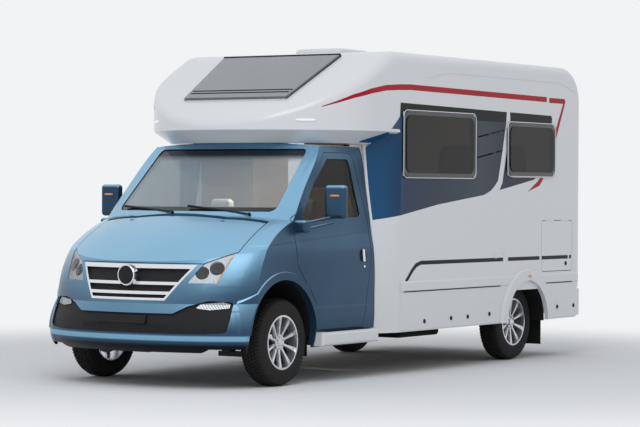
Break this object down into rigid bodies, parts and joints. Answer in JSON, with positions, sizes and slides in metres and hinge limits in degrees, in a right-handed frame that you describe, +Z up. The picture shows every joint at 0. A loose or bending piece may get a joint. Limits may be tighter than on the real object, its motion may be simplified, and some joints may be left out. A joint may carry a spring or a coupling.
{
  "type": "motorhome",
  "caption": "Coachbuilt motorhome on a short-nosed van cab, with overcab nose, opening doors and bonnet, steering and rolling wheels.",
  "frame": {"origin": "on the ground under the middle of the vehicle's length and width", "axes": "+Z up, -Y towards the front of the vehicle, +X towards its left side"},
  "size_m": [2.48, 5.8881, 2.8149],
  "materials": {
    "blue_paint": "metallic clearcoat",
    "white_shell": "gloss gelcoat",
    "white_moulding": "satin gelcoat",
    "black_plastic": "grained",
    "chrome": "polished",
    "alloy": "silver lacquer",
    "tyre_rubber": "matte",
    "black_rubber": "matte",
    "clear_glass": "tinted",
    "tinted_acrylic": "dark tinted",
    "lamp_bowl": "metallised",
    "lamp_clear": "clear lens",
    "lamp_red": "ribbed lens",
    "chassis_black": "satin",
    "cast_metal": "rough",
    "exhaust_steel": "dull",
    "tank_plastic": "matte",
    "frame_white": "satin",
    "dash_grey": "grained",
    "floor_grey": "vinyl",
    "wood_floor": "satin",
    "furniture_wood": "satin veneer",
    "cream_leather": "soft grain",
    "cushion_fabric": "woven"
  },
  "bodies": {
    "root": {"bumper_insert": "black_plastic", "cab_fairings": "white_shell", "cab_floor": "floor_grey", "cab_seats": "cream_leather", "cab_shell": "blue_paint", "cab_steps": "white_moulding", "chassis_frame": "chassis_black", "cushions": "cushion_fabric", "dashboard": "dash_grey", "engine": "cast_metal", "exhaust": "exhaust_steel", "front_bumper": "blue_paint", "furniture": "furniture_wood", "grille": "chrome", "grille_backing": "black_plastic", "headlamps": "lamp_clear", "lamp_housings": "lamp_bowl", "living_floor": "wood_floor", "mud_flaps": "black_rubber", "overcab_shell": "white_shell", "rear_axle": "chassis_black", "rear_bumper": "white_moulding", "rear_wall": "white_shell", "roof": "white_shell", "roof_hatch": "frame_white", "side_skirts": "white_moulding", "side_wall_left": "white_shell", "side_wall_right": "white_shell", "skylight": "tinted_acrylic", "tail_lamps": "lamp_red", "tanks": "tank_plastic", "wheel_housings": "black_plastic", "window_frames": "frame_white", "window_panes": "tinted_acrylic", "windscreen": "clear_glass", "wipers": "black_plastic"},
    "knuckle_left": {"knuckle_left": "cast_metal"},
    "knuckle_right": {"knuckle_right": "cast_metal"},
    "wheel_front_left": {"tyre_front_left": "tyre_rubber", "wheel_front_left": "alloy"},
    "wheel_front_right": {"tyre_front_right": "tyre_rubber", "wheel_front_right": "alloy"},
    "wheel_rear_left": {"tyre_rear_left": "tyre_rubber", "wheel_rear_left": "alloy"},
    "wheel_rear_right": {"tyre_rear_right": "tyre_rubber", "wheel_rear_right": "alloy"},
    "cab_door_left": {"cab_door_left": "blue_paint", "door_glass_left": "clear_glass"},
    "cab_door_right": {"cab_door_right": "blue_paint", "door_glass_right": "clear_glass"},
    "entry_door": {"entry_door": "white_shell", "entry_door_pane": "tinted_acrylic"},
    "service_door": {"service_door": "white_shell"},
    "bonnet": {"bonnet": "blue_paint"}
  },
  "joints": [
    {"name": "steer_left", "type": "hinge", "parent": "root", "child": "knuckle_left", "pos_m": [0.695, -2.037, 0.35], "axis": [0, 0, 1], "range_deg": [-35, 35]},
    {"name": "steer_right", "type": "hinge", "parent": "root", "child": "knuckle_right", "pos_m": [-0.695, -2.037, 0.35], "axis": [0, 0, 1], "range_deg": [-35, 35]},
    {"name": "spin_front_left", "type": "hinge", "parent": "knuckle_left", "child": "wheel_front_left", "pos_m": [0.855, -2.037, 0.35], "axis": [1, 0, 0], "continuous": true},
    {"name": "spin_front_right", "type": "hinge", "parent": "knuckle_right", "child": "wheel_front_right", "pos_m": [-0.855, -2.037, 0.35], "axis": [1, 0, 0], "continuous": true},
    {"name": "spin_rear_left", "type": "hinge", "parent": "root", "child": "wheel_rear_left", "pos_m": [0.855, 1.813, 0.35], "axis": [1, 0, 0], "continuous": true},
    {"name": "spin_rear_right", "type": "hinge", "parent": "root", "child": "wheel_rear_right", "pos_m": [-0.855, 1.813, 0.35], "axis": [1, 0, 0], "continuous": true},
    {"name": "cab_door_left_hinge", "type": "hinge", "parent": "root", "child": "cab_door_left", "pos_m": [0.984, -1.8872, 1], "axis": [0, 0, -1], "range_deg": [0, 65]},
    {"name": "cab_door_right_hinge", "type": "hinge", "parent": "root", "child": "cab_door_right", "pos_m": [-0.984, -1.8872, 1], "axis": [0, 0, 1], "range_deg": [0, 65]},
    {"name": "entry_door_hinge", "type": "hinge", "parent": "root", "child": "entry_door", "pos_m": [-1.08, 0.2983, 1.4], "axis": [0, 0, 1], "range_deg": [0, 90]},
    {"name": "service_door_hinge", "type": "hinge", "parent": "root", "child": "service_door", "pos_m": [1.08, 2.42, 1.2887], "axis": [0, -1, 0], "range_deg": [0, 90]},
    {"name": "bonnet_hinge", "type": "hinge", "parent": "root", "child": "bonnet", "pos_m": [0, -2.125, 1.316], "axis": [-1, 0, 0], "range_deg": [0, 55]}
  ],
  "couplings": [
    {"joint": "steer_right", "follows": "steer_left", "ratio": 1}
  ]
}
